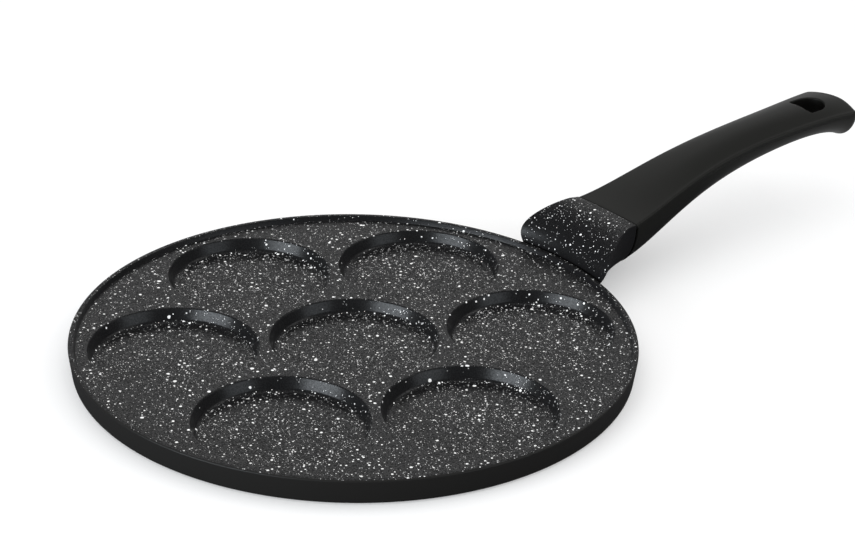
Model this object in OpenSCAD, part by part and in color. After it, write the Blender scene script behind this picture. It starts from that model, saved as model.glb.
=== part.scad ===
// Seven-well pancake pan: a cast plate with round wells, a flared lug and a screwed-on arched handle.
// The pan's axis is +Z with the base on z = 0, and the handle runs along +X. All sizes are in millimetres.

/* [Wells] */
// Diameter of a well at the plate
well_d = 79.2; // [60:0.2:80]
// Depth of a well below the plate
well_depth = 6.5; // [4:0.1:7]
// Narrowest web between two wells
well_web = 3.4; // [2.6:0.1:8]
// Wells in the ring round the middle one
ring_wells = 6; // [6:1:8]
// How far a well's wall leans in from its edge to its floor fillet
well_lean = 1.3; // [0.5:0.1:3]
// Fillet between a well's wall and its floor
well_fillet = 2.6; // [1:0.1:3.5]
// Rounding of a well's top edge
well_edge = 0.8; // [0.4:0.1:1]

/* [Plate and rim] */
// Height from the base to the top of the rim
body_h = 12.5; // [11.8:0.1:20]
// Drop from the rim's top to the plate
plate_drop = 2.3; // [1:0.1:2.8]
// Plate left between a ring well and the rim
plate_margin = 4.3; // [3:0.1:12]
// Width of the rim, its inner step included
rim_w = 3.5; // [3:0.1:6]
// Run of the sloping step inside the rim
rim_step = 0.9; // [0.3:0.1:1.2]
// Rounding of the rim's outer edge
rim_round = 0.8; // [0.4:0.1:1]
// How far the outer wall leans in from the rim to the base
wall_lean = 1.2; // [0.5:0.1:3]
// Fillet round the foot of the wall
foot_fillet = 1.8; // [1:0.1:2.5]

/* [Turned base] */
// Width of the coated ring left round the turned disc
base_margin = 8; // [5:0.5:14]
// How far the turned disc stands proud of the coated ring
base_step = 0.5; // [0.3:0.1:0.8]
// Width of a groove in the turned disc
groove_w = 1.4; // [0.8:0.1:2]
// Depth of a groove
groove_depth = 0.4; // [0.2:0.1:0.6]
// Distance from one groove to the next
groove_pitch = 14; // [8:1:20]

/* [Lug] */
// Length of the lug from the rim to the handle
lug_len = 27; // [24:1:40]
// Height of the lug's top above the base
lug_top = 31.4; // [29:0.1:36]
// Width of the lug where it meets the handle
lug_w = 42.2; // [38:0.2:50]
// Depth of the lug's section where it meets the handle
lug_depth = 26.6; // [25:0.1:28]
// How far each side of the lug flares out at the rim
lug_flare = 11.2; // [6:0.1:13]
// Reach of the rounded nose from the valley at the rim to the lug's flat top
nose_run = 23; // [12:0.5:24]
// Width of the valley between the rim and the nose
valley_w = 1.2; // [0.8:0.1:2]
// Depth of that valley below the rim's top
valley_drop = 1.4; // [0.8:0.1:2]

/* [Handle] */
// Length of the handle from the lug to its tip
grip_len = 165.5; // [150:0.5:200]
// Rise of the top edge from the lug to the tip
grip_rise = 19.6; // [14:0.2:26]
// Width that the handle's sides draw in towards
grip_neck_w = 23.4; // [20:0.2:30]
// Width at the outer corners
grip_end_w = 35.8; // [32:0.2:40]
// Depth that the underside draws in towards, before the finger hook
grip_thin = 6.5; // [5.5:0.1:9]
// Depth at the finger hook
grip_hook = 17; // [11:0.1:18]
// Height that the crown of the top swells towards
grip_crown = 3.5; // [1.5:0.1:6]
// Crown of the top where the handle meets the lug
root_crown = 0.5; // [0.2:0.1:1]
// Crown of the top at the outer corners
end_crown = 2; // [0.4:0.1:4]
// How far the end face bulges between its corners
end_bulge = 2.5; // [2:0.1:6]
// Rounding of the end face's lower edge
end_round = 4; // [2:0.5:5]
// Chamfer of both edges at the seam between the lug and the handle
seam_chamfer = 0.5; // [0.3:0.1:0.8]

/* [Hanging hole] */
// Width of the hole
hole_w = 16; // [12:0.2:18]
// Length of the hole, from its straight edge to its round end
hole_len = 15.4; // [14:0.2:22]
// Radius of the corners at its straight edge
hole_corner = 1.6; // [1:0.1:3]
// Handle left between the hole and the tip
hole_margin = 14.2; // [11:0.1:20]

/* [Screw] */
// Diameter of the screw that holds the handle
screw_d = 6; // [5:0.5:7]
// Height of the screw's axis above the base
screw_h = 18.5; // [17.5:0.1:19.5]
// Depth of its thread in the lug
thread_len = 18; // [12:1:20]
// Thickness of the handle's wall under the washers
seat_wall = 20; // [16:0.5:24]
// Clearance round the screw in the handle
screw_clear = 0.3; // [0.2:0.05:0.5]
// Diameter of the screw's head
head_d = 11; // [9.5:0.1:11.6]
// Height of the screw's head
head_h = 4; // [3:0.1:5]
// Width across the cross recess in the head
recess_w = 5.6; // [4:0.1:6]
// Width of one slot of the recess
recess_slot = 1.3; // [1:0.1:1.6]
// Depth of the recess
recess_depth = 2.2; // [1.5:0.1:2.5]
// Diameter of the flat washer
washer_d = 12.4; // [11.8:0.1:12.6]
// Thickness of the flat washer
washer_t = 1.2; // [0.8:0.1:2]
// Thickness of the spring washer
spring_t = 1.6; // [1.2:0.1:2]
// Width of the split in the spring washer
spring_split = 1; // [0.6:0.1:1.4]
// Clearance round the washers in the screw's pocket
pocket_clear = 0.7; // [0.5:0.1:1]

/* [Tongue] */
// Width of the lug's tongue, which stops the handle from turning
tongue_w = 24; // [20:0.5:26]
// Height of the tongue
tongue_h = 11; // [10:0.2:12]
// How far the tongue stands out of the lug
tongue_len = 5; // [3:0.1:8]
// Clearance round the tongue in the handle
tongue_clear = 0.2; // [0.1:0.05:0.4]

/* [Hidden] */
$fn = 96;

// Past a face, so that a cut leaves no skin
over = 1;
// Gap of a threaded fit, which the threads fill on the real screw
thread_gap = 0.05;

// Ring of wells
ring_r = (well_d + well_web) / (2 * sin(180 / ring_wells));
well_centres = concat([[0, 0]], [for (i = [0 : ring_wells - 1])
    ring_r * [cos(360 / ring_wells * (i + 0.5)), sin(360 / ring_wells * (i + 0.5))]]);

// Plate, rim and base
rim_in_r = ring_r + well_d / 2 + plate_margin;
pan_r = rim_in_r + rim_w;
plate_z = body_h - plate_drop;
floor_z = plate_z - well_depth;
base_r = pan_r - base_margin;
groove_count = floor((base_r - groove_w) / groove_pitch);

// Lug, whose loft starts inside the plate and whose underside falls to lug_low at the rim. The share flare_start of
// its flare opens evenly from the seam, and the rest as a square.
seam_x = pan_r + lug_len;
lug_bury = 12;
lug_in_x = pan_r - lug_bury;
lug_low = 2;
flare_start = 0.2;
valley_z = body_h - valley_drop;
nose_r0 = pan_r + valley_w;
nose_power = 1.85;
nose_lift = 3;

// Handle
loft_len = grip_len - end_bulge - end_round;
grip_top = lug_top + grip_rise;
hole_x = seam_x + grip_len - hole_margin - hole_w / 2;

// Control values of the handle's curves, from the lug to the outer corners
width_control = [lug_w, 0.68 * lug_w, grip_neck_w, grip_end_w];
rise_control = grip_rise * [0, 0.21, 1.18, 0.76, 1.09, 1];
depth_control = concat(lug_depth * [1, 1.05, 0.5, 0.62, 0.5], [grip_thin, grip_hook]);
crown_control = concat([root_crown], grip_crown * [0.4, 0.85, 1], [end_crown]);

// Share of the loft at which the end's bulge starts
bulge_from = 0.6;

// Screw and washers, from the lug outwards
seat_x = seam_x + seat_wall;
spring_x = seat_x + washer_t;
head_x = spring_x + spring_t;
pocket_r = washer_d / 2 + pocket_clear;
pocket_len = 40;
spring_d = head_d - 0.4;

// Steps along and round the lofts, and the powers that round their undersides
top_steps = 12;
low_steps = 22;
lug_rings = 18;
grip_rings = 40;
round_rings = 5;
crown_power = 1.2;
root_power = 2.2;
wall_power = 2.7;

// Points of a quarter circle of radius r about c, from angle a0 to a1
function arc(c, r, a0, a1, steps = 6) =
    [for (i = [0 : steps]) c + r * [cos(a0 + (a1 - a0) * i / steps), sin(a0 + (a1 - a0) * i / steps)]];

// Value at u of the Bezier curve whose control values are list p
function bezier(p, u) = len(p) == 1 ? p[0]
    : bezier([for (i = [0 : len(p) - 2]) p[i] * (1 - u) + p[i + 1] * u], u);

// Smooth step from 0 to 1 as v goes from 0 to 1
function ease(v) = let (t = max(0, min(1, v))) t * t * (3 - 2 * t);

function sign_power(v, e) = sign(v) * pow(abs(v), e);

// D-shaped section as [y, z] points: a crowned top between two corners, and a rounded underside below
function d_section(half_w, top, depth, crown, power) = concat(
    [for (i = [0 : top_steps]) let (y = half_w * (2 * i / top_steps - 1))
        [y, top + crown * pow(1 - pow(y / half_w, 2), crown_power)]],
    [for (i = [1 : low_steps - 1]) let (a = 180 * i / low_steps)
        [half_w * sign_power(cos(a), 2 / power), top - depth * sign_power(sin(a), 2 / power)]]);

// Closed solid through rings of points, all with the same number of points and running the same way round
module loft(rings) {
    count = len(rings[0]);
    last = len(rings) - 1;
    centre = function (ring) [for (k = [0 : 2])
        (max([for (p = ring) p[k]]) + min([for (p = ring) p[k]])) / 2];
    points = concat([for (ring = rings) each ring], [centre(rings[0]), centre(rings[last])]);
    sides = [for (r = [0 : last - 1]) for (i = [0 : count - 1]) let (j = (i + 1) % count)
        each [[r * count + i, r * count + j, (r + 1) * count + j],
              [r * count + i, (r + 1) * count + j, (r + 1) * count + i]]];
    caps = [for (i = [0 : count - 1]) let (j = (i + 1) % count)
        each [[len(points) - 2, j, i], [len(points) - 1, last * count + i, last * count + j]]];
    polyhedron(points, concat(sides, caps));
}

// One ring of the handle, drawn in by inset at the seam, and rounded by turn degrees at the end face
function grip_ring(u, inset = 0, turn = 0) =
    let (shrink = end_round * (1 - cos(turn)),
         half_w = bezier(width_control, u) / 2 - inset - 0.8 * shrink,
         drop = inset + 0.4 * shrink,
         lift = inset + 1.8 * shrink,
         top = lug_top + bezier(rise_control, u) - drop,
         depth = bezier(depth_control, u) - drop - lift,
         x = seam_x + loft_len * u + end_round * sin(turn),
         bulge = end_bulge * ease((u - bulge_from) / (1 - bulge_from)))
    [for (p = d_section(half_w, top, depth, bezier(crown_control, u), root_power))
        [x + bulge * (1 - pow(p[0] / half_w, 2)), p[0], p[1]]];

// One ring of the lug at distance x along the handle's axis
function lug_ring(x, inset = 0) =
    let (v = (seam_x - x) / lug_len,
         low = (lug_top - lug_depth) * (1 - min(1, v)) + lug_low * min(1, v),
         top = lug_top + nose_lift * v,
         half_w = lug_w / 2 + lug_flare * v * (flare_start + (1 - flare_start) * v) - inset)
    [for (p = d_section(half_w, top - inset, top - low - 2 * inset, root_crown,
            root_power + (wall_power - root_power) * min(1, v))) [x, p[0], p[1]]];

// Outline of the plate, rim and wall, turned about the pan's axis
module body_profile() {
    polygon(concat(
        [[0, 0], [base_r, 0], [base_r + base_step, base_step]],
        arc([pan_r - wall_lean - foot_fillet, base_step + foot_fillet], foot_fillet, -90, 0),
        arc([pan_r - rim_round, body_h - rim_round], rim_round, 0, 90),
        arc([rim_in_r + rim_step + rim_round / 2, body_h - rim_round / 2], rim_round / 2, 90, 150, 3),
        [[rim_in_r, plate_z], [0, plate_z]]));
}

// Cutter for one well: a rounded edge, a leaning wall tangent to it and a filleted floor
module well_cut() {
    run = well_edge + well_lean + well_fillet;
    drop = well_depth - well_edge - well_fillet;
    tilt = acos((well_edge + well_fillet) / norm([run, drop])) - atan2(drop, run);
    floor_r = well_d / 2 - run;
    rotate_extrude() polygon(concat(
        [[0, floor_z]],
        arc([floor_r, floor_z + well_fillet], well_fillet, -90, -tilt),
        arc([well_d / 2, plate_z - well_edge], well_edge, 180 - tilt, 90),
        [[well_d / 2, plate_z + over], [0, plate_z + over]]));
}

// Everything that the lug may fill: up to the valley beside the rim, then under the rounded nose
module nose_limit() {
    steps = 14;
    rise = lug_top + root_crown - body_h;
    rotate_extrude() polygon(concat(
        [[0, 0], [0, floor_z + over], [pan_r - rim_w, floor_z + over], [pan_r - rim_round, valley_z]],
        [[nose_r0, valley_z]],
        [for (i = [0 : steps]) let (a = 90 * i / steps)
            [nose_r0 + nose_run * (1 - pow(cos(a), 2 / nose_power)),
             body_h + rise * pow(sin(a), 2 / nose_power)]],
        [[seam_x * 2, lug_top + root_crown], [seam_x * 2, 0]]));
}

// Oblong with round ends, across the handle's axis, from x outwards
module tongue(x, length, grow = 0) {
    translate([x, 0, screw_h]) rotate([90, 0, 90]) linear_extrude(length) {
        square([tongue_w - tongue_h, tongue_h + 2 * grow], center = true);
        for (side = [-1, 1]) translate([side * (tongue_w - tongue_h) / 2, 0]) circle(tongue_h / 2 + grow);
    }
}

// Bar along the handle's axis, at the screw's height
module bar(x, length, r) {
    translate([x, 0, screw_h]) rotate([0, 90, 0]) cylinder(h = length, r = r);
}

module pan_body() {
    steps = [for (i = [0 : lug_rings]) lug_in_x + (seam_x - seam_chamfer - lug_in_x) * i / lug_rings];
    color([0.15, 0.15, 0.16]) difference() {
        union() {
            rotate_extrude($fn = 180) body_profile();
            intersection() {
                loft([for (x = steps) lug_ring(x), lug_ring(seam_x, seam_chamfer)]);
                nose_limit();
            }
            tongue(seam_x - over, tongue_len + over);
        }
        for (c = well_centres) translate(c) well_cut();
        bar(seam_x - thread_len, thread_len + tongue_len + over, screw_d / 2);
        for (i = [1 : groove_count]) rotate_extrude()
            translate([i * groove_pitch, 0]) polygon([[-groove_w / 2, -over], [-groove_w / 2, 0],
                [0, groove_depth], [groove_w / 2, 0], [groove_w / 2, -over]]);
    }
}

module handle_grip() {
    socket = tongue_len + tongue_clear;
    color([0.17, 0.17, 0.16]) difference() {
        loft(concat(
            [grip_ring(0, seam_chamfer)],
            [for (i = [0 : grip_rings]) grip_ring(max(seam_chamfer / loft_len, i / grip_rings))],
            [for (i = [1 : round_rings]) grip_ring(1, 0, 90 * i / round_rings)]));
        tongue(seam_x - over, socket + over, tongue_clear);
        bar(seam_x - over, seat_wall + 2 * over, screw_d / 2 + screw_clear);
        bar(seat_x, pocket_len, pocket_r);
        translate([hole_x, 0, 0]) linear_extrude(2 * grip_top) hanging_hole();
    }
}

// Arch with its straight edge towards the pan and its round end on the origin
module hanging_hole() {
    straight = hole_len - hole_w / 2;
    circle(d = hole_w);
    translate([-straight + hole_corner, -hole_w / 2]) square([straight - hole_corner, hole_w]);
    translate([-straight, -hole_w / 2 + hole_corner]) square([straight, hole_w - 2 * hole_corner]);
    for (side = [-1, 1]) translate([-straight + hole_corner, side * (hole_w / 2 - hole_corner)])
        circle(hole_corner);
}

module handle_screw() {
    color([0.72, 0.72, 0.74]) difference() {
        union() {
            bar(seam_x - thread_len + over, head_x - seam_x + thread_len, screw_d / 2 - thread_gap);
            translate([head_x, 0, screw_h]) rotate([0, 90, 0]) rotate_extrude() polygon(concat(
                [[0, 0], [head_d / 2, 0]],
                arc([head_d / 2 - head_h / 2, head_h / 2], head_h / 2, 0, 90),
                [[0, head_h]]));
        }
        for (turn = [0, 90]) translate([head_x + head_h, 0, screw_h]) rotate([turn, 0, 0])
            cube([2 * recess_depth, recess_w, recess_slot], center = true);
    }
}

module spring_washer() {
    color([0.62, 0.62, 0.64]) difference() {
        bar(spring_x, spring_t, spring_d / 2);
        bar(spring_x - over, spring_t + 2 * over, screw_d / 2 + screw_clear);
        translate([spring_x - over, -spring_split / 2, screw_h])
            cube([spring_t + 2 * over, spring_split, spring_d]);
    }
}

module flat_washer() {
    color([0.68, 0.68, 0.7]) difference() {
        bar(seat_x, washer_t, washer_d / 2);
        bar(seat_x - over, washer_t + 2 * over, screw_d / 2 + screw_clear);
    }
}

pan_body();
handle_grip();
handle_screw();
spring_washer();
flat_washer();
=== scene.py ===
import math

import bmesh
import bpy
import numpy as np
from mathutils import Matrix, Vector
from mathutils.geometry import delaunay_2d_cdt


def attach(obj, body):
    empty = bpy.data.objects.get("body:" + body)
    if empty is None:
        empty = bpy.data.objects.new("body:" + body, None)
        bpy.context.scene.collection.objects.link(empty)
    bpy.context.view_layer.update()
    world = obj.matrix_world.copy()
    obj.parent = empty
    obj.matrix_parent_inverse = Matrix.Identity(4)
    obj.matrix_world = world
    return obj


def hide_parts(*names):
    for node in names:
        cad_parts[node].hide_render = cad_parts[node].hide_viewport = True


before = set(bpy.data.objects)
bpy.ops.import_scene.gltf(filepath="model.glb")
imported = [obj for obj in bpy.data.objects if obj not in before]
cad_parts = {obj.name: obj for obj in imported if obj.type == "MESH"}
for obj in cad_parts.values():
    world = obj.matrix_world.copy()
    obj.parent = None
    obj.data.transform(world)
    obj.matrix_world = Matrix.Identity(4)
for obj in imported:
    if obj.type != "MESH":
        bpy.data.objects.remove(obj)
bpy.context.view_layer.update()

# Pancake pan with seven wells. Shapes are worked out in millimetres on the CAD part's values, but the
# handle's top is a little higher and rounder here. The pan's axis is +Z with its base on z = 0, and the
# handle runs along +X.
MM = 0.001

# Wells
WELL_R = 39.6
WELL_DEPTH = 6.5
WELL_LEAN = 1.3
WELL_FILLET = 2.6
WELL_EDGE = 0.8
RING_R = 82.6
RING_WELLS = 6

# Plate, rim and base
BODY_H = 12.5
PLATE_Z = 10.2
FLOOR_Z = PLATE_Z - WELL_DEPTH
RIM_IN_R = 126.5
PAN_R = 130.0
RIM_STEP = 0.9
RIM_ROUND = 0.8
WALL_LEAN = 1.2
FOOT_FILLET = 1.8
BASE_R = 122.0
BASE_STEP = 0.5
GROOVE_W = 1.4
GROOVE_DEPTH = 0.4
GROOVE_PITCH = 14.0
# Half the width of a groove's flat bottom
GROOVE_FLAT = 0.15
PAN_STEPS, WELL_STEPS = 360, 192

# Lug
LUG_LEN = 27.0
SEAM_X = PAN_R + LUG_LEN
LUG_TOP = 31.4
LUG_W = 42.2
LUG_DEPTH = 26.6
LUG_FLARE = 11.2
FLARE_START = 0.2
LUG_LOW = 2.0
NOSE_R0 = 131.2
NOSE_RUN = 23.0
NOSE_POWER = 1.85
NOSE_LIFT = 3.0
VALLEY_Z = 11.1
SEAM_ROUND = 0.35
LUG_CORNER_R = 0.5
SEAM_GAP = 1.2
GAP_DEPTH = 3.0
# How far below the lug's top the gap starts to open, and over what height
GAP_START, GAP_FADE = 0.3, 2.0

# Handle, as Bezier control values from the lug to the outer corners
GRIP_LEN = 165.5
END_BULGE = 2.5
END_ROUND = 4.0
LOFT_LEN = GRIP_LEN - END_BULGE - END_ROUND
WIDTH = [42.2, 28.7, 23.4, 35.8]
RISE = [0, 4.12, 23.13, 14.9, 21.36, 19.6]
DEPTH = [26.6, 27.93, 13.3, 16.49, 13.3, 6.5, 17.0]
CROWN = [0.5, 1.8, 4.6, 5.0, 2.6]
CROWN_POWER = 1.2
FAR_POWER = 0.9
# Width of the ledge, and the share of the loft over which it grows
LEDGE, LEDGE_GROWTH = 2.0, 0.12
ROOT_POWER = 2.2
WALL_POWER = 2.7
PARTING_DEPTH = 0.2
# Radius of the top's corners at the lug, and how much it grows behind
CORNER_R, CORNER_GROWTH = 1.2, 0.8
# Shares of the loft from which the corners grow, the parting line deepens and the end bulges, and over which
CORNER_FROM, CORNER_RUN = 0.25, 0.3
PARTING_FROM, PARTING_RUN = 0.22, 0.15
BULGE_FROM, BULGE_RUN = 0.6, 0.4
# How much of the end's rounding comes off the sides, the top and the underside
END_SIDE, END_TOP, END_LOW = 0.8, 0.4, 1.8
# Distance from the seam to the loft's first ring, and number of its rings
FIRST_RING, GRIP_RINGS = 1.2, 130

# Hanging hole: an arch with its straight edge towards the pan and its round end about (HOLE_X, 0)
HOLE_R = 8.0
HOLE_X = 300.3
HOLE_STRAIGHT = 7.4
HOLE_CORNER = 1.6
HOLE_FILLET = 0.7
# Room round the hole in which the handle's faces are laid anew: towards the pan, towards the end and sideways
ROOM_BACK, ROOM_END, ROOM_SIDE = 4.0, 4.5, 2.5
# Distance from the hole's middle, in metres, within which steep faces are the hole's wall, which gets a
# painted shade
HOLE_REACH = 0.0145

# Screw's way through the handle and into the lug
SCREW_H = 18.5
SCREW_R = 3.0
THREAD_LEN = 18.0
SEAT_X = SEAM_X + 20.0
POCKET_R = 6.9
POCKET_LEN = 40.0
TONGUE_W = 24.0
TONGUE_H = 11.0
TONGUE_LEN = 5.0
TONGUE_CLEAR = 0.2
SCREW_CLEAR = 0.3
# How far a tool for cutting or joining runs past a face
OVER = 1.0

# Points of a lofted ring: along its top, round its underside and in one corner, and before they are thinned
N_TOP, N_LOW, N_ROUND = 49, 64, 5
LINE_POINTS, SWEEP_POINTS = 400, 241


def bezier(values, u):
    """Value at u of the Bezier curve with those control values."""
    values = [np.asarray(v, float) for v in values]
    while len(values) > 1:
        values = [a * (1 - u) + b * u for a, b in zip(values, values[1:])]
    return values[0]


def power(v, e):
    return np.sign(v) * np.abs(v) ** e


def ease(v):
    t = np.clip(v, 0, 1)
    return t * t * (3 - 2 * t)


def circle_at(centre, r, z, steps):
    """Points of a level circle about the centre."""
    a = np.arange(steps) * 2 * math.pi / steps
    return np.stack([centre[0] + r * np.cos(a), centre[1] + r * np.sin(a), np.full(steps, z)], 1)


def arc(x, z, r, a0, a1, steps):
    """Points of an arc about (x, z), from angle a0 to a1 in degrees."""
    return [(x + r * math.cos(math.radians(a)), z + r * math.sin(math.radians(a)))
            for a in np.linspace(a0, a1, steps + 1)]


# Meshes

class Shell:
    """Collects points in millimetres and faces, and makes one closed mesh of them."""

    def __init__(self):
        self.points, self.faces, self.count = [], [], 0

    def add(self, points):
        first = self.count
        self.points.append(np.asarray(points, float).reshape(-1, 3))
        self.count += len(self.points[-1])
        return first

    def rings(self, rings, close_start=False, close_end=False):
        """Quads between rings that all have the same number of points."""
        n = len(rings[0])
        starts = [self.add(r) for r in rings]
        for a, b in zip(starts, starts[1:]):
            self.faces += [(a + i, a + (i + 1) % n, b + (i + 1) % n, b + i) for i in range(n)]
        for start, ring, close in ((starts[0], rings[0], close_start), (starts[-1], rings[-1], close_end)):
            if close:
                c = self.add([np.mean(ring, axis=0)])
                self.faces += [(start + i, start + (i + 1) % n, c) for i in range(n)]
        return starts

    def lathe(self, profile, steps, centre=(0, 0), close=False):
        """The profile of (radius, z) points turned about the centre. Close adds a fan at its last ring."""
        return self.rings([circle_at(centre, r, z, steps) for r, z in profile], close_end=close)

    def object(self, name, angle=30):
        mesh = bpy.data.meshes.new(name)
        points = np.concatenate(self.points) * MM
        mesh.from_pydata([tuple(p) for p in points], [], [tuple(int(i) for i in f) for f in self.faces])
        bm = bmesh.new()
        bm.from_mesh(mesh)
        bmesh.ops.remove_doubles(bm, verts=bm.verts, dist=2e-6)
        bmesh.ops.dissolve_degenerate(bm, edges=bm.edges, dist=1e-7)
        bmesh.ops.recalc_face_normals(bm, faces=bm.faces)
        bm.to_mesh(mesh)
        bm.free()
        made = bpy.data.objects.new(name, mesh)
        bpy.context.scene.collection.objects.link(made)
        smooth(made, angle)
        return made


def smooth(piece, angle):
    piece.data.shade_smooth()
    piece.data.set_sharp_from_angle(angle=math.radians(angle))


def boolean(piece, other, operation, angle=30):
    """Joins or cuts piece with other, and deletes other."""
    modifier = piece.modifiers.new("cut", "BOOLEAN")
    modifier.operation = operation
    modifier.solver = "EXACT"
    modifier.object = other
    bpy.context.view_layer.update()
    evaluated = piece.evaluated_get(bpy.context.evaluated_depsgraph_get())
    mesh = bpy.data.meshes.new_from_object(evaluated)
    piece.modifiers.clear()
    piece.data = mesh
    bpy.data.objects.remove(other)
    smooth(piece, angle)


def bar(x, length, outline):
    """Solid along the handle's axis at the screw's height, with that outline of (y, z) points."""
    shell = Shell()
    shell.rings([[(x + dx, y, SCREW_H + z) for y, z in outline] for dx in (0, length)], True, True)
    return shell.object("cutter")


def circle(r, steps=64):
    angles = [2 * math.pi * i / steps for i in range(steps)]
    return [(r * math.cos(a), r * math.sin(a)) for a in angles]


def oblong(width, height, steps=24):
    half = (width - height) / 2
    return arc(half, 0, height / 2, -90, 90, steps) + arc(-half, 0, height / 2, 90, 270, steps)


def resample(points, count):
    """The polyline at count points, evenly spaced along it."""
    points = np.asarray(points, float)
    along = np.concatenate([[0], np.cumsum(np.linalg.norm(np.diff(points, axis=0), axis=1))])
    at = np.linspace(0, along[-1], count)
    return np.stack([np.interp(at, along, points[:, k]) for k in range(3)], 1)


def rounded_ring(top, low, radius):
    """Ring from a top line to the right and a lower line back to the left, with both corners rounded."""
    def trimmed(points, count):
        points = resample(points, LINE_POINTS)
        along = np.linspace(0, 1, LINE_POINTS)
        length = np.sum(np.linalg.norm(np.diff(points, axis=0), axis=1))
        cut = min(0.3, radius / length)
        at = np.linspace(cut, 1 - cut, count)
        return np.stack([np.interp(at, along, points[:, k]) for k in range(3)], 1)

    def corner(a, c, b):
        u = np.linspace(0, 1, N_ROUND + 2)[1:-1, None]
        return bezier([a, c, b], u)

    top, low = np.asarray(top, float), np.asarray(low, float)
    t, w = trimmed(top, N_TOP), trimmed(low, N_LOW)
    return np.concatenate([t, corner(t[-1], top[-1], w[0]), w, corner(w[-1], top[0], t[0])])


# Pan body

def well_profile():
    """Rounded edge, wall tangent to it, fillet and floor, as (radius, z) points from the edge inwards."""
    floor_r = WELL_R - WELL_EDGE - WELL_LEAN - WELL_FILLET
    dx, dz = WELL_R - floor_r, (PLATE_Z - WELL_EDGE) - (FLOOR_Z + WELL_FILLET)
    tilt = math.degrees(math.acos((WELL_EDGE + WELL_FILLET) / math.hypot(dx, dz)) - math.atan2(dz, dx))
    return (arc(WELL_R, PLATE_Z - WELL_EDGE, WELL_EDGE, 90, 180 - tilt, 8)
            + arc(floor_r, FLOOR_Z + WELL_FILLET, WELL_FILLET, -tilt, -90, 12)
            + [(floor_r * f, FLOOR_Z) for f in (0.97, 0.8, 0.5, 0.2)])


def plate_faces(shell, outer, holes):
    """Triangles of the flat plate between the outer loop and the wells' loops."""
    loops = [outer] + holes
    flat = np.concatenate(loops)[:, :2]
    edges, first = [], 0
    for loop in loops:
        n = len(loop)
        edges += [(first + i, first + (i + 1) % n) for i in range(n)]
        first += n
    verts, _, faces, *_ = delaunay_2d_cdt([Vector(p) for p in flat], edges, [], 0, 1e-6)
    centres = [h[:, :2].mean(0) for h in holes]
    start = shell.add([(v.x, v.y, PLATE_Z) for v in verts])
    for f in faces:
        m = np.mean([verts[i] for i in f], axis=0)
        if np.hypot(*m) < RIM_IN_R and all(np.hypot(*(m - c)) > WELL_R - 0.001 for c in centres):
            shell.faces.append(tuple(start + i for i in f))


def make_body():
    shell = Shell()
    rim_x = RIM_IN_R + RIM_STEP + RIM_ROUND / 2
    profile = ([(RIM_IN_R, PLATE_Z), (RIM_IN_R + 0.14, PLATE_Z + 0.1)]
               + arc(rim_x, BODY_H - RIM_ROUND / 2, RIM_ROUND / 2, 157, 90, 6)
               + arc(PAN_R - RIM_ROUND, BODY_H - RIM_ROUND, RIM_ROUND, 90, -6, 12)
               + arc(PAN_R - WALL_LEAN - FOOT_FILLET, BASE_STEP + FOOT_FILLET, FOOT_FILLET, -6, -90, 10)
               + [(BASE_R + BASE_STEP, BASE_STEP), (BASE_R + 0.1, 0.05), (BASE_R - 0.1, 0)])
    grooves = int((BASE_R - GROOVE_W) / GROOVE_PITCH)
    for i in range(grooves, 0, -1):
        r = i * GROOVE_PITCH
        profile += [(r + GROOVE_W / 2, 0), (r + GROOVE_FLAT, GROOVE_DEPTH),
                    (r - GROOVE_FLAT, GROOVE_DEPTH), (r - GROOVE_W / 2, 0)]
    shell.lathe(profile + [(2, 0)], PAN_STEPS, close=True)
    centres = [(0, 0)] + [(RING_R * math.cos(math.radians(t)), RING_R * math.sin(math.radians(t)))
                          for t in np.arange(RING_WELLS) * 360 / RING_WELLS + 180 / RING_WELLS]
    for c in centres:
        shell.lathe(well_profile(), WELL_STEPS, c, close=True)
    holes = [circle_at(c, WELL_R, PLATE_Z, WELL_STEPS) for c in centres]
    plate_faces(shell, circle_at((0, 0), RIM_IN_R, PLATE_Z, PAN_STEPS), holes)
    return shell.object("cast_pan")


def nose_z(x, y):
    """Height of the rounded nose over (x, y), which goes by the distance from the pan's axis."""
    t = np.clip((np.hypot(x, y) - NOSE_R0) / NOSE_RUN, 0, 1)
    rise = LUG_TOP + CROWN[0] - BODY_H
    return BODY_H + rise * (1 - (1 - t) ** NOSE_POWER) ** (1 / NOSE_POWER)


def lug_section(x):
    """Half width, corner height, depth and power of the lug's section at x."""
    v = (SEAM_X - x) / LUG_LEN
    share = min(1, v)
    top = LUG_TOP + NOSE_LIFT * v
    low = (LUG_TOP - LUG_DEPTH) * (1 - share) + LUG_LOW * share
    half = LUG_W / 2 + LUG_FLARE * v * (FLARE_START + (1 - FLARE_START) * v)
    return half, top, top - low, ROOT_POWER + (WALL_POWER - ROOT_POWER) * share


def lug_edge(x, height, inset):
    """Angle round the lug's underside at x at which height(x, y) cuts it off, and how far out that is."""
    half, top, depth, e = lug_section(x)
    half, top, depth = half - inset, top - inset, depth - 2 * inset
    a = np.linspace(0, math.pi / 2, 1001)
    over = top - depth * np.sin(a) ** (2 / e) - height(x, half * np.cos(a) ** (2 / e))
    k = int(np.argmax(over <= 0))
    at = a[k] if k == 0 else a[k - 1] + (a[k] - a[k - 1]) * over[k - 1] / (over[k - 1] - over[k])
    return at, half * math.cos(at) ** (2 / e)


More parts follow.
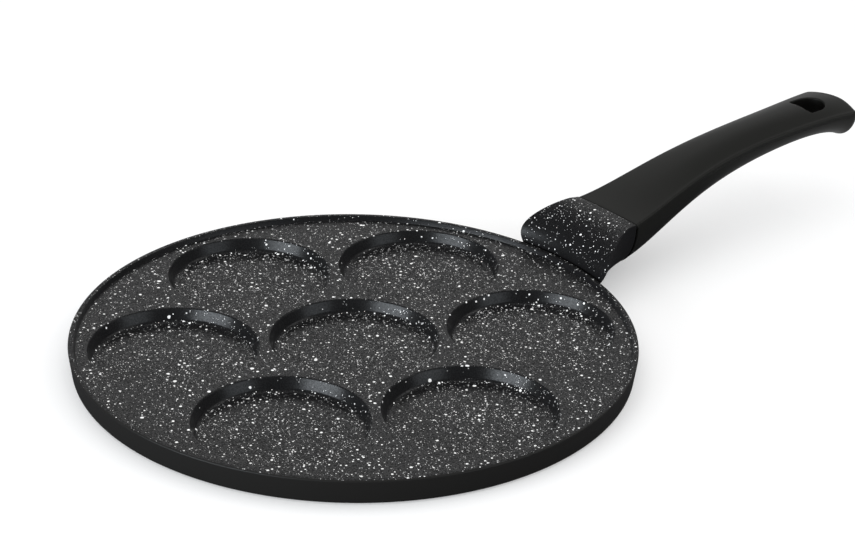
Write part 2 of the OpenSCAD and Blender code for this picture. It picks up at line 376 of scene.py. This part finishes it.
def lug_row(x_of_y, height, inset=0.0, section_x=None):
    """Top line and underside of a ring of the lug. The top line follows x_of_y, and height(x, y) cuts it off.

    The underside is at section_x, or else where the top line ends.
    """
    low_x, high_x = (PAN_R - 10, SEAM_X) if section_x is None else (section_x, section_x)
    for _ in range(30):
        x = (low_x + high_x) / 2
        a0, y = lug_edge(x, height, inset)
        if x_of_y(y) > x:
            low_x = x if section_x is None else low_x
        else:
            high_x = x if section_x is None else high_x
    half, top, depth, e = lug_section(x)
    half, top, depth = half - inset, top - inset, depth - 2 * inset
    t = np.linspace(-1, 1, 65)
    tx = x_of_y(t * y)
    halves = np.array([lug_section(v)[0] for v in tx])
    tops = np.array([lug_section(v)[1] for v in tx]) - inset
    crown = CROWN[0] * np.clip(1 - (t * y / halves) ** 2, 0, 1) ** CROWN_POWER
    tz = np.minimum(tops + crown, height(tx, t * y))
    sweep = np.linspace(a0, math.pi - a0, SWEEP_POINTS)
    low = np.stack([np.full(SWEEP_POINTS, x), half * power(np.cos(sweep), 2 / e),
                    top - depth * power(np.sin(sweep), 2 / e)], 1)
    line = np.stack([tx, t * y, tz], 1)
    line[0], line[-1] = low[-1], low[0]
    return line, low


def make_lug():
    rows = []
    start = lug_row(lambda y: np.sqrt(NOSE_R0 ** 2 - y * y), lambda x, y: BODY_H + 0 * y)[1][0][0]
    # Rows inside the rim: radius and height of the top line, and how far back the underside is
    feet = ((PAN_R - 4.0, FLOOR_Z + 1.0, 6.0),
            (PAN_R - RIM_ROUND, VALLEY_Z, 1.9),
            (NOSE_R0, VALLEY_Z, 0.15))
    for radius, z, back in feet:
        rows.append(lug_row(lambda y, r=radius: np.sqrt(r * r - y * y), lambda x, y, h=z: h + 0 * y,
                            section_x=start - back))
    last = SEAM_X - SEAM_ROUND
    run = last - NOSE_R0
    shares = [(1 - math.cos(b) ** (2 / NOSE_POWER)) * NOSE_RUN / run for b in np.linspace(0, math.pi / 2, 31)]
    shares += list(np.linspace(shares[-1], 1, 5)[1:])
    for s in shares:
        rows.append(lug_row(lambda y, s=s: (1 - s) * np.sqrt(NOSE_R0 ** 2 - y * y) + s * last,
                            nose_z))
    for b in (30, 60, 90):
        inset = SEAM_ROUND * (1 - math.cos(math.radians(b)))
        x = SEAM_X - SEAM_ROUND * (1 - math.sin(math.radians(b)))
        rows.append(lug_row(lambda y, x=x: x + 0 * y, nose_z, inset))
    shell = Shell()
    shell.rings([rounded_ring(line, low, LUG_CORNER_R) for line, low in rows], True, True)
    return shell.object("lug", 35)


def make_pan():
    pan = make_body()
    boolean(pan, make_lug(), "UNION")
    boolean(pan, bar(SEAM_X - OVER, TONGUE_LEN + OVER, oblong(TONGUE_W, TONGUE_H)), "UNION")
    boolean(pan, bar(SEAM_X - THREAD_LEN, THREAD_LEN + TONGUE_LEN + OVER, circle(SCREW_R)), "DIFFERENCE")
    return pan


# Handle

def grip_values(u):
    """Half width, edge height and depth of the handle at share u of its loft."""
    return bezier(WIDTH, u) / 2, LUG_TOP + bezier(RISE, u), bezier(DEPTH, u)


def bulge_at(u):
    return END_BULGE * ease((u - BULGE_FROM) / BULGE_RUN)


def crown_at(u, y, half):
    """Height of the crown above the top's edges.

    At -y it ends at a narrow ledge. At +y it stays fuller and drops more steeply at the edge.
    """
    share = ease(u / LEDGE_GROWTH)
    reach = np.where(y < 0, half - LEDGE * share, half)
    e = np.where(y < 0, CROWN_POWER, CROWN_POWER + (FAR_POWER - CROWN_POWER) * share)
    return bezier(CROWN, u) * np.clip(1 - (y / reach) ** 2, 0, 1) ** e


def parted(ring, depth):
    """The ring with a parting line that deep on both sides, just below the rounded corners."""
    a, b = N_TOP + N_ROUND, N_TOP + N_ROUND + N_LOW - 1

    def line(p, q):
        points = p + (q - p) * np.array([[0.25], [0.5], [0.75]])
        points[1, 1] -= np.sign(p[1]) * depth
        return points

    right, left = line(ring[a], ring[a + 1]), line(ring[b - 1], ring[b])
    return np.concatenate([ring[:a + 1], right, ring[a + 1:b], left, ring[b:]])


def grip_ring(u, inset=0.0, turn=0.0, scale=1.0):
    """Ring of the handle at share u of its loft. Turn is the angle round the rounding at the handle's end."""
    half, edge, depth = (float(v) for v in grip_values(u))
    shrink = END_ROUND * (1 - math.cos(turn))
    half -= inset + END_SIDE * shrink
    drop, lift = inset + END_TOP * shrink, inset + END_LOW * shrink
    top, depth = edge - drop, depth - drop - lift
    t = np.linspace(-1, 1, 81)
    a = np.linspace(0, math.pi, SWEEP_POINTS)
    line = np.stack([0 * t, half * t, top + crown_at(u, half * t, half)], 1)
    e = 2 / ROOT_POWER
    low = np.stack([0 * a, half * power(np.cos(a), e), top - depth * power(np.sin(a), e)], 1)
    ring = rounded_ring(line, low, CORNER_R + CORNER_GROWTH * ease((u - CORNER_FROM) / CORNER_RUN))
    ring = parted(ring, PARTING_DEPTH * ease((u - PARTING_FROM) / PARTING_RUN) * math.cos(turn))
    if scale < 1:
        centre = np.array([0, 0, top - depth / 3])
        ring = centre + (ring - centre) * scale
    bulge = bulge_at(u) * (1 - (ring[:, 1] / half) ** 2)
    ring[:, 0] = SEAM_X + LOFT_LEN * u + END_ROUND * math.sin(turn) + bulge
    return ring


def hole_outline(offset, per_side=10):
    """Points of the hanging hole's outline, moved outwards by offset."""
    back, side = HOLE_X - HOLE_STRAIGHT, HOLE_R
    c = HOLE_CORNER
    points = [(HOLE_X + x, y) for x, y in arc(0, 0, side + offset, -90, 90, 4 * per_side)]
    points += [(back + c + x, side - c + y) for x, y in arc(0, 0, c + offset, 90, 180, per_side)]
    points += [(back + c + x, c - side + y) for x, y in arc(0, 0, c + offset, 180, 270, per_side)]
    return np.array(points)


def share_at(x, y):
    """Share of the handle's loft at which its top passes over (x, y)."""
    u = (x - SEAM_X) / LOFT_LEN
    for _ in range(30):
        u = (x - SEAM_X - bulge_at(u) * (1 - (y / (bezier(WIDTH, u) / 2)) ** 2)) / LOFT_LEN
    return u


def grip_surface(points, upper):
    """Height of the handle's top or underside over each (x, y) point."""
    x, y = points[:, 0], points[:, 1]
    u = share_at(x, y)
    half, edge, depth = grip_values(u)
    if upper:
        return edge + crown_at(u, y, half)
    return edge - depth * (1 - np.abs(y / half) ** ROOT_POWER) ** (1 / ROOT_POWER)


def inside(points, loop):
    """Whether each point lies inside the closed loop."""
    x, y = points[:, 0], points[:, 1]
    result = np.zeros(len(points), bool)
    for (x0, y0), (x1, y1) in zip(loop, np.roll(loop, -1, axis=0)):
        crosses = (y0 > y) != (y1 > y)
        with np.errstate(divide="ignore", invalid="ignore"):
            result ^= crosses & (x < (x1 - x0) * (y - y0) / (y1 - y0) + x0)
    return result


def hole_window(shell, starts, rows, columns, upper):
    """Fills the window in the grid with faces up to the hole's rounded edge. Returns the edge's loop."""
    a = np.concatenate(shell.points)
    loop = ([starts[rows[0]] + c for c in range(columns[0], columns[1] + 1)]
            + [starts[r] + columns[1] for r in range(rows[0] + 1, rows[1] + 1)]
            + [starts[rows[1]] + c for c in range(columns[1] - 1, columns[0] - 1, -1)]
            + [starts[r] + columns[0] for r in range(rows[1] - 1, rows[0], -1)])
    border = a[loop][:, :2]
    offsets = HOLE_FILLET * (1 - np.cos(np.linspace(0, math.pi / 2, 7)))
    outlines = [hole_outline(d) for d in offsets]
    edge = hole_outline(HOLE_FILLET * 1.25)
    inner = np.array([a[starts[r] + c][:2] for r in range(rows[0] + 1, rows[1])
                      for c in range(columns[0] + 1, columns[1])])
    inner = inner[~inside(inner, edge)]
    flat = np.concatenate([border, inner] + outlines)
    edges = [(i, (i + 1) % len(border)) for i in range(len(border))]
    first = len(border) + len(inner)
    for outline in outlines:
        m = len(outline)
        edges += [(first + i, first + (i + 1) % m) for i in range(m)]
        first += m
    verts, _, faces, origin, *_ = delaunay_2d_cdt([Vector(p) for p in flat], edges, [], 0, 1e-6)
    points = np.array([tuple(v) for v in verts])
    heights = grip_surface(points, upper)
    first = len(border) + len(inner)
    for k, (offset, outline) in enumerate(zip(offsets, outlines)):
        drop = HOLE_FILLET - math.sqrt(HOLE_FILLET ** 2 - (HOLE_FILLET - offset) ** 2)
        for i, ids in enumerate(origin):
            if any(first <= j < first + len(outline) for j in ids):
                heights[i] += -drop if upper else drop
        first += len(outline)
    for i, ids in enumerate(origin):
        for j in ids:
            if j < len(border):
                heights[i] = a[loop[j]][2]
    start = shell.add(np.column_stack([points, heights]))
    middles = np.array([points[list(f)].mean(0) for f in faces])
    keep = inside(middles, border) & ~inside(middles, outlines[0])
    shell.faces += [tuple(start + i for i in f) for f, k in zip(faces, keep) if k]
    z = grip_surface(outlines[0], upper) + (-HOLE_FILLET if upper else HOLE_FILLET)
    return np.column_stack([outlines[0], z])


def make_grip():
    shell = Shell()
    shares = np.linspace(FIRST_RING / LOFT_LEN, 1, GRIP_RINGS)
    whole, core = grip_ring(0), grip_ring(0, GAP_DEPTH)
    gap = np.zeros_like(whole)
    gap[:, 0] = SEAM_GAP * (0.1 + 0.9 * ease((LUG_TOP - GAP_START - whole[:, 2]) / GAP_FADE))
    rings = [core, core + gap]
    for b in (0, 30, 60, 90):
        rounding = whole + (grip_ring(0, SEAM_ROUND) - whole) * (1 - math.sin(math.radians(b)))
        rings.append(rounding + gap + (SEAM_ROUND * (1 - math.cos(math.radians(b))), 0, 0))
    rings += [grip_ring(u) for u in shares]
    middle_top, middle_low = N_TOP // 2, N_TOP + N_ROUND + 3 + N_LOW // 2
    rows = [int(np.argmin([abs(ring[middle_top][0] - x) for ring in rings]))
            for x in (HOLE_X - HOLE_STRAIGHT - ROOM_BACK, HOLE_X + HOLE_R + ROOM_END)]
    rings += [grip_ring(1, turn=math.radians(b)) for b in (12, 24, 36, 48, 60, 70, 80, 90)]
    rings += [grip_ring(1, turn=math.pi / 2, scale=s) for s in (0.85, 0.65, 0.4, 0.15)]
    starts = shell.rings(rings, True, True)
    windows = []
    for upper, centre in ((True, middle_top), (False, middle_low)):
        reach = 1
        while min(abs(rings[r][centre + reach][1]) for r in rows) < HOLE_R + ROOM_SIDE:
            reach += 1
        windows.append((upper, (centre - reach, centre + reach)))
    gone = {starts[r] + c for r in range(*rows) for _, (c0, c1) in windows for c in range(c0, c1)}
    shell.faces = [f for f in shell.faces if not (len(f) == 4 and f[0] in gone)]
    loops = [hole_window(shell, starts, rows, columns, upper) for upper, columns in windows]
    shell.rings([loops[0] * (1 - f) + loops[1] * f for f in np.linspace(0, 1, 7)])
    grip = shell.object("soft_handle", 40)
    socket = oblong(TONGUE_W + 2 * TONGUE_CLEAR, TONGUE_H + 2 * TONGUE_CLEAR)
    for tool in (bar(SEAM_X - OVER, TONGUE_LEN + TONGUE_CLEAR + OVER, socket),
                 bar(SEAM_X - OVER, SEAT_X - SEAM_X + 2 * OVER, circle(SCREW_R + SCREW_CLEAR)),
                 bar(SEAT_X, POCKET_LEN, circle(POCKET_R))):
        boolean(grip, tool, "DIFFERENCE", 40)
    return grip


# Materials

# How much a surface catches of the sprayed flecks goes by its normal times this
SPRAY = (-0.47, 0.37, 0.8)
# Layers of flecks: size of a cell, least and largest radius, share of cells that have one, and whether fine
FLECKS = ((0.8, 0.10, 0.20, 0.6, True), (1.5, 0.24, 0.40, 0.34, True),
          (3.0, 0.42, 0.66, 0.38, False), (7.0, 0.65, 0.95, 0.32, False))
# Distance in metres from one turned line of the base to the next
TURNING_PITCH = 0.00045


class Nodes:
    """Short names for building one material's nodes."""

    def __init__(self, tree):
        self.tree = tree

    def add(self, kind, inputs=None, **settings):
        node = self.tree.nodes.new("ShaderNode" + kind)
        for name, value in settings.items():
            setattr(node, name, value)
        for name, value in (inputs or {}).items():
            self.put(node.inputs[name], value)
        return node

    def put(self, socket, value):
        if isinstance(value, bpy.types.NodeSocket):
            self.tree.links.new(value, socket)
        else:
            socket.default_value = value

    def math(self, operation, a, b=0.0, c=0.0, clamp=False):
        node = self.add("Math", operation=operation, use_clamp=clamp)
        for socket, value in zip(node.inputs, (a, b, c)):
            self.put(socket, value)
        return node.outputs[0]

    def ramp(self, value, low, high):
        node = self.add("MapRange", {"Value": value, "From Min": low, "From Max": high}, clamp=True,
                        interpolation_type="SMOOTHSTEP")
        return node.outputs["Result"]

    def mix(self, factor, a, b):
        node = self.add("Mix", data_type="RGBA")
        for name, value in (("Factor_Float", factor), ("A_Color", a), ("B_Color", b)):
            self.put(next(s for s in node.inputs if s.identifier == name), value)
        return next(s for s in node.outputs if s.identifier == "Result_Color")

    def noise(self, vector, scale, detail=2.0, roughness=0.5):
        inputs = {"Vector": vector, "Scale": scale, "Detail": detail, "Roughness": roughness}
        return self.add("TexNoise", inputs)

    def from_axis(self, where):
        """Distance of a separated place from the Z axis."""
        squares = [self.math("POWER", where.outputs[i], 2.0) for i in (0, 1)]
        return self.math("SQRT", self.math("ADD", *squares))

    def bump(self, height, distance, strength=1.0, normal=None):
        inputs = {"Height": height, "Distance": distance, "Strength": strength}
        if normal is not None:
            inputs["Normal"] = normal
        return self.add("Bump", inputs).outputs["Normal"]


def material(name, **uniform):
    made = bpy.data.materials.new(name)
    made.use_nodes = True
    made.node_tree.nodes.clear()
    nodes = Nodes(made.node_tree)
    shader = nodes.add("BsdfPrincipled")
    for socket, value in uniform.items():
        shader.inputs[socket.replace("_", " ")].default_value = value
    output = nodes.add("OutputMaterial")
    made.node_tree.links.new(shader.outputs[0], output.inputs["Surface"])
    place = nodes.add("TexCoord").outputs["Object"]
    return made, nodes, shader, place


def flecks(nodes, place, cell, small, large, share, seed):
    """Mask of round flecks in that share of the cells. Cell, small and large are in mm."""
    shift = nodes.add("Mapping", {"Vector": place, "Location": (seed * 0.37, seed * 0.61, seed * 0.23)})
    wobble = nodes.noise(shift.outputs[0], 1000 / (small * 3), 1.0).outputs["Color"]
    offset = nodes.add("VectorMath", operation="MULTIPLY_ADD")
    nodes.put(offset.inputs[0], wobble)
    offset.inputs[1].default_value = (small * MM * 1.2,) * 3
    nodes.put(offset.inputs[2], shift.outputs[0])
    cells = nodes.add("TexVoronoi", {"Vector": offset.outputs[0], "Scale": 1000 / cell})
    random = nodes.add("SeparateColor", {"Color": cells.outputs["Color"]})
    radius = nodes.math("MULTIPLY_ADD", random.outputs[0], (large - small) / cell, small / cell)
    there = nodes.math("LESS_THAN", random.outputs[1], share)
    near = nodes.math("SUBTRACT", radius, cells.outputs["Distance"])
    soft = nodes.math("MULTIPLY_ADD", near, cell / 0.05, 0.5, clamp=True)
    return nodes.math("MULTIPLY", soft, there)


def all_flecks(nodes, place, fine_share, drop_share):
    """Mask of all layers of flecks."""
    total = None
    for seed, (cell, small, large, share, fine) in enumerate(FLECKS, 1):
        density = nodes.math("MULTIPLY", fine_share if fine else drop_share, share)
        mask = flecks(nodes, place, cell, small, large, density, seed)
        total = mask if total is None else nodes.math("MAXIMUM", total, mask)
    return total


def coating():
    """Dark non-stick coating: white flecks on the plate, rim and lug's top, and plain on the outer sides."""
    made, nodes, shader, place = material("speckled_coating", IOR=1.45)
    facing = nodes.add("NewGeometry").outputs["Normal"]
    normal = nodes.add("SeparateXYZ", {"Vector": facing})
    where = nodes.add("SeparateXYZ", {"Vector": place})
    radius = nodes.from_axis(where)
    across = [nodes.math("MULTIPLY", normal.outputs[i], where.outputs[i]) for i in (0, 1)]
    outward = nodes.math("DIVIDE", nodes.math("ADD", *across), radius)
    inner = nodes.math("MULTIPLY", nodes.math("LESS_THAN", radius, RIM_IN_R * MM + 0.002),
                       nodes.math("GREATER_THAN", where.outputs[2], (FLOOR_Z - 0.5) * MM))
    ragged = nodes.noise(place, 900.0, 2.0).outputs["Fac"]
    edge = nodes.math("MULTIPLY_ADD", ragged, 0.5, nodes.math("SUBTRACT", normal.outputs[2], outward))
    sprayed = nodes.math("MAXIMUM", nodes.ramp(edge, 0.95, 1.1), inner)
    plain = nodes.math("SUBTRACT", 1.0, sprayed)
    on_rim = nodes.ramp(radius, (RIM_IN_R - 0.5) * MM, (RIM_IN_R + 0.5) * MM)
    on_lug = nodes.ramp(radius, (PAN_R + 0.5) * MM, (PAN_R + 1.5) * MM)
    on_ring = nodes.math("SUBTRACT", on_rim, on_lug)
    spray = nodes.add("VectorMath", operation="DOT_PRODUCT")
    nodes.put(spray.inputs[0], facing)
    spray.inputs[1].default_value = SPRAY
    reached = nodes.ramp(spray.outputs["Value"], 0.0, 0.8)
    upward = nodes.ramp(normal.outputs[2], 0.3, 0.9)
    cloud = nodes.ramp(nodes.noise(place, 28.0, 2.0).outputs["Fac"], 0.1, 0.5)
    off_lug = nodes.math("SUBTRACT", 1.0, on_lug)
    partly = nodes.math("MAXIMUM", upward, 0.35)
    fewer = nodes.math("ADD", nodes.math("MULTIPLY", on_ring, 0.7), nodes.math("MULTIPLY", on_lug, 0.3))
    above = nodes.math("GREATER_THAN", where.outputs[2], (PLATE_Z - 1) * MM)
    fine = nodes.math("MULTIPLY", reached, nodes.math("MULTIPLY_ADD", above, -0.4, 1.0))
    fine = nodes.math("MULTIPLY", fine, nodes.math("MULTIPLY_ADD", partly, 0.7, 0.3))
    fine_share = nodes.math("MULTIPLY", fine, cloud)
    drop_share = nodes.math("MULTIPLY", partly, nodes.math("SUBTRACT", 1.0, fewer))
    total = nodes.math("MULTIPLY", all_flecks(nodes, place, fine_share, drop_share), sprayed)
    mottle = nodes.noise(place, 60.0, 4.0, 0.6).outputs["Fac"]
    base = nodes.mix(mottle, (0.0065, 0.0065, 0.007, 1), (0.0105, 0.0105, 0.011, 1))
    wall = nodes.math("MULTIPLY", plain, off_lug)
    base = nodes.mix(wall, base, (0.0145, 0.0139, 0.0131, 1))
    nodes.put(shader.inputs["Base Color"], nodes.mix(total, base, (0.95, 0.95, 0.94, 1)))
    grain = nodes.noise(place, 1400.0, 2.0).outputs["Fac"]
    rough = nodes.math("MULTIPLY_ADD", grain, 0.1, nodes.math("MULTIPLY_ADD", total, 0.2, 0.25))
    nodes.put(shader.inputs["Roughness"], nodes.math("MULTIPLY_ADD", plain, 0.1, rough))
    grit = nodes.ramp(nodes.noise(place, 1500.0, 1.0).outputs["Fac"], 0.38, 0.62)
    grit = nodes.math("MULTIPLY", nodes.math("SUBTRACT", grit, 0.5), nodes.math("MULTIPLY", partly, sprayed))
    shine = nodes.math("MULTIPLY_ADD", nodes.math("MULTIPLY", plain, on_lug), -0.08, 0.335)
    shine = nodes.math("MULTIPLY_ADD", on_rim, -0.11, nodes.math("MULTIPLY_ADD", on_lug, 0.06, shine))
    shine = nodes.math("MULTIPLY", shine, nodes.math("MULTIPLY_ADD", grit, 1.3, 1.0))
    nodes.put(shader.inputs["Specular IOR Level"], shine)
    peel = nodes.bump(grain, 0.00003, 0.5)
    nodes.put(shader.inputs["Normal"], nodes.bump(total, 0.00005, 0.6, peel))
    return made


def turned_aluminium():
    """Bare turned disc of the base, with the fine rings that the tool leaves."""
    made, nodes, shader, place = material("turned_aluminium", Metallic=1.0, Specular_IOR_Level=0.5)
    where = nodes.add("SeparateXYZ", {"Vector": place})
    radius = nodes.from_axis(where)
    ring = nodes.add("CombineXYZ", {"X": nodes.math("MULTIPLY", radius, 4000.0)})
    lines = nodes.noise(ring.outputs[0], 1.0, 3.0, 0.7).outputs["Fac"]
    coarse = nodes.math("SINE", nodes.math("MULTIPLY", radius, 2 * math.pi / TURNING_PITCH))
    blotch = nodes.noise(place, 45.0, 4.0).outputs["Fac"]
    tone = nodes.math("MULTIPLY_ADD", lines, 0.6, nodes.math("MULTIPLY", blotch, 0.4))
    nodes.put(shader.inputs["Base Color"], nodes.mix(tone, (0.46, 0.46, 0.47, 1), (0.66, 0.66, 0.67, 1)))
    nodes.put(shader.inputs["Roughness"], nodes.math("MULTIPLY_ADD", lines, 0.2, 0.24))
    first = nodes.bump(coarse, 0.00001, 0.35)
    nodes.put(shader.inputs["Normal"], nodes.bump(lines, 0.00001, 0.5, first))
    return made


def soft_touch():
    """Matt moulded plastic with a soft skin and a fine spark-eroded grain. The hanging hole's steep walls get
    a painted shade: a darker colour standing in for the shade inside the hole.
    """
    made, nodes, shader, place = material("soft_touch_black", Specular_IOR_Level=0.21, IOR=1.45)
    cloud = nodes.noise(place, 35.0, 3.0, 0.6).outputs["Fac"]
    grain = nodes.noise(place, 3200.0, 2.0, 0.6).outputs["Fac"]
    shift = nodes.add("VectorMath", operation="SUBTRACT")
    nodes.put(shift.inputs[0], place)
    shift.inputs[1].default_value = (HOLE_X * MM, 0, (LUG_TOP + 10) * MM)
    near = nodes.add("VectorMath", operation="LENGTH")
    nodes.put(near.inputs[0], shift.outputs[0])
    normal = nodes.add("SeparateXYZ", {"Vector": nodes.add("NewGeometry").outputs["Normal"]})
    # Painted shade: the steep walls inside the hanging hole are coloured near-black to stand for the shade
    # there
    hole_shade = nodes.math("MULTIPLY", nodes.math("LESS_THAN", near.outputs["Value"], HOLE_REACH),
                         nodes.math("LESS_THAN", nodes.math("ABSOLUTE", normal.outputs[2]), 0.3))
    base = nodes.mix(cloud, (0.0095, 0.0095, 0.0083, 1), (0.0125, 0.0125, 0.011, 1))
    nodes.put(shader.inputs["Base Color"], nodes.mix(hole_shade, base, (0.004, 0.0036, 0.003, 1)))
    rough = nodes.math("MULTIPLY_ADD", cloud, 0.06, 0.36)
    nodes.put(shader.inputs["Roughness"], nodes.math("MULTIPLY_ADD", grain, 0.12, rough))
    nodes.put(shader.inputs["Normal"], nodes.bump(grain, 0.00003, 0.5))
    return made


def zinc():
    """Bright zinc plating on steel."""
    made, nodes, shader, place = material("zinc_steel", Metallic=1.0, Specular_IOR_Level=0.5)
    spangle = nodes.noise(place, 700.0, 4.0, 0.65).outputs["Fac"]
    nodes.put(shader.inputs["Base Color"], nodes.mix(spangle, (0.47, 0.48, 0.50, 1), (0.66, 0.66, 0.67, 1)))
    nodes.put(shader.inputs["Roughness"], nodes.math("MULTIPLY_ADD", spangle, 0.25, 0.2))
    nodes.put(shader.inputs["Normal"], nodes.bump(spangle, 0.00002, 0.4))
    return made


def give(piece, *materials):
    piece.data.materials.clear()
    for made in materials:
        piece.data.materials.append(made)


# Pieces

def dress():
    coat, base = coating(), turned_aluminium()
    pan = make_pan()
    give(pan, coat, base)
    for face in pan.data.polygons:
        c = face.center
        on_disc = math.hypot(c.x, c.y) < (BASE_R + 0.05) * MM and c.z < (GROOVE_DEPTH + 0.02) * MM
        face.material_index = 1 if on_disc else 0
    grip = make_grip()
    give(grip, soft_touch())
    for piece, node, slot in ((pan, "pan_body", "speckled_coating"),
                              (grip, "handle_grip", "soft_touch_black")):
        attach(piece, "root")
        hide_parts(node)
    steel = zinc()
    for node in ("handle_screw", "spring_washer", "flat_washer"):
        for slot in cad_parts[node].material_slots:
            slot.material = steel


# Stage: camera, floor, world and lamps

CAMERA_AT = Vector((-0.589867, -0.754058, 0.516171))
LOOK = Vector((0.576937, 0.687934, -0.440330))
LEVEL_TILT = 0.025172
LENS = 99.403
FRONT = Vector((-0.6161, -0.7877, 0))
RIGHT = Vector((0.7877, -0.6161, 0))
WORLD_TONE = 0.85
FRONT_TONE = 0.065
CLOTH_EDGE = 0.155
# What the lamps are aimed at
AIM = Vector((0.06, 0, 0.01))


def make_camera():
    data = bpy.data.cameras.new("camera")
    data.lens, data.sensor_width = LENS, 36
    data.clip_start, data.clip_end = 0.05, 50
    camera = bpy.data.objects.new("camera", data)
    bpy.context.scene.collection.objects.link(camera)
    bpy.context.scene.camera = camera
    turn = LOOK.to_track_quat("-Z", "Y").to_matrix()
    level, up = turn.col[0], turn.col[1]
    roll = math.asin(LEVEL_TILT / up.z)
    right = level * math.cos(roll) + up * math.sin(roll)
    above = right.cross(LOOK)
    camera.matrix_world = Matrix.Translation(CAMERA_AT) @ Matrix((right, above, -LOOK)).transposed().to_4x4()


def softbox(name, right, front, height, width, tall, tone, colour=(1, 1, 1)):
    """Area lamp at a place given to the right and front of the pan, whose face has the radiance tone."""
    data = bpy.data.lights.new(name, "AREA")
    data.shape, data.size, data.size_y = "RECTANGLE", width, tall
    data.energy = tone * math.pi * width * tall
    data.color = colour
    lamp = bpy.data.objects.new(name, data)
    bpy.context.scene.collection.objects.link(lamp)
    lamp.location = RIGHT * right + FRONT * front + Vector((0, 0, height))
    lamp.rotation_mode = "QUATERNION"
    lamp.rotation_quaternion = (AIM - lamp.location).to_track_quat("-Z", "Y")


def make_world():
    world = bpy.data.worlds.new("studio")
    bpy.context.scene.world = world
    world.use_nodes = True
    world.node_tree.nodes.clear()
    nodes = Nodes(world.node_tree)
    ray = nodes.add("LightPath")
    way = nodes.add("TexCoord").outputs["Generated"]
    behind = nodes.add("VectorMath", operation="DOT_PRODUCT")
    nodes.put(behind.inputs[0], way)
    behind.inputs[1].default_value = tuple(-FRONT)
    height = nodes.add("SeparateXYZ", {"Vector": way}).outputs[2]
    wall = nodes.math("SUBTRACT", 1.0, nodes.ramp(height, 0.0, 0.25))
    lit = nodes.math("MAXIMUM", nodes.math("MULTIPLY_ADD", wall, 0.7, 0.3), nodes.ramp(height, 0.37, 0.53))
    back = nodes.math("MULTIPLY", nodes.ramp(behind.outputs["Value"], 0.5, 0.85), lit)
    gloss = nodes.math("MAXIMUM", ray.outputs["Is Glossy Ray"], ray.outputs["Is Transmission Ray"])
    white = nodes.math("MAXIMUM", ray.outputs["Is Camera Ray"], nodes.math("MULTIPLY", gloss, back))
    dim = nodes.mix(gloss, (WORLD_TONE,) * 3 + (1,), (FRONT_TONE,) * 3 + (1,))
    colour = nodes.mix(white, dim, (1, 1, 1, 1))
    background = nodes.add("Background", {"Color": colour, "Strength": 1.0})
    output = nodes.add("OutputWorld")
    world.node_tree.links.new(background.outputs[0], output.inputs["Surface"])


def make_floor():
    """White floor that keeps the pan's shadow. The pan mirrors it darker up to CLOTH_EDGE behind the axis."""
    bpy.ops.mesh.primitive_plane_add(size=30)
    floor = bpy.context.object
    floor.name = "floor"
    made = bpy.data.materials.new("floor")
    made.use_nodes = True
    made.node_tree.nodes.clear()
    nodes = Nodes(made.node_tree)
    place = nodes.add("TexCoord").outputs["Object"]
    far = nodes.add("VectorMath", operation="LENGTH")
    nodes.put(far.inputs[0], place)
    fade = nodes.ramp(far.outputs["Value"], 0.2, 0.7)
    ray = nodes.add("LightPath")
    camera = ray.outputs["Is Camera Ray"]
    behind = nodes.add("VectorMath", operation="DOT_PRODUCT")
    nodes.put(behind.inputs[0], place)
    behind.inputs[1].default_value = tuple(-FRONT)
    beyond = nodes.ramp(behind.outputs["Value"], CLOTH_EDGE - 0.01, CLOTH_EDGE + 0.01)
    pale = nodes.mix(beyond, (0.09, 0.09, 0.096, 1), (0.5, 0.5, 0.5, 1))
    matt = nodes.add("BsdfDiffuse", {"Color": nodes.mix(camera, pale, (1, 1, 1, 1))}).outputs[0]
    glow = nodes.add("Emission", {"Color": (1, 1, 1, 1), "Strength": 1.0}).outputs[0]
    mix = nodes.add("MixShader")
    afar = nodes.ramp(behind.outputs["Value"], 0.17, 0.3)
    distant = nodes.math("MULTIPLY", ray.outputs["Is Glossy Ray"], afar)
    seen = nodes.math("MULTIPLY", camera, nodes.math("MULTIPLY_ADD", fade, 0.7, 0.3))
    glowing = nodes.math("MAXIMUM", distant, seen)
    nodes.put(mix.inputs[0], glowing)
    nodes.put(mix.inputs[1], matt)
    nodes.put(mix.inputs[2], glow)
    output = nodes.add("OutputMaterial")
    made.node_tree.links.new(mix.outputs[0], output.inputs["Surface"])
    floor.data.materials.append(made)


make_camera()
make_world()
make_floor()
# Each lamp: place to the right, to the front and up, width and height of its face, and tone
softbox("top", -0.1, -0.1, 1.7, 1.5, 1.5, 0.5)
softbox("left_front", -1.15, 0.95, 0.27, 1.35, 0.5, 9.5, (0.87, 0.94, 1.0))
softbox("right_front", 1.2, 0.90, 0.25, 1.0, 0.5, 2.2, (0.87, 0.94, 1.0))
softbox("right", 1.2, -0.1, 0.95, 0.9, 0.8, 1.3)
dress()
bpy.context.scene.view_settings.view_transform = "Standard"
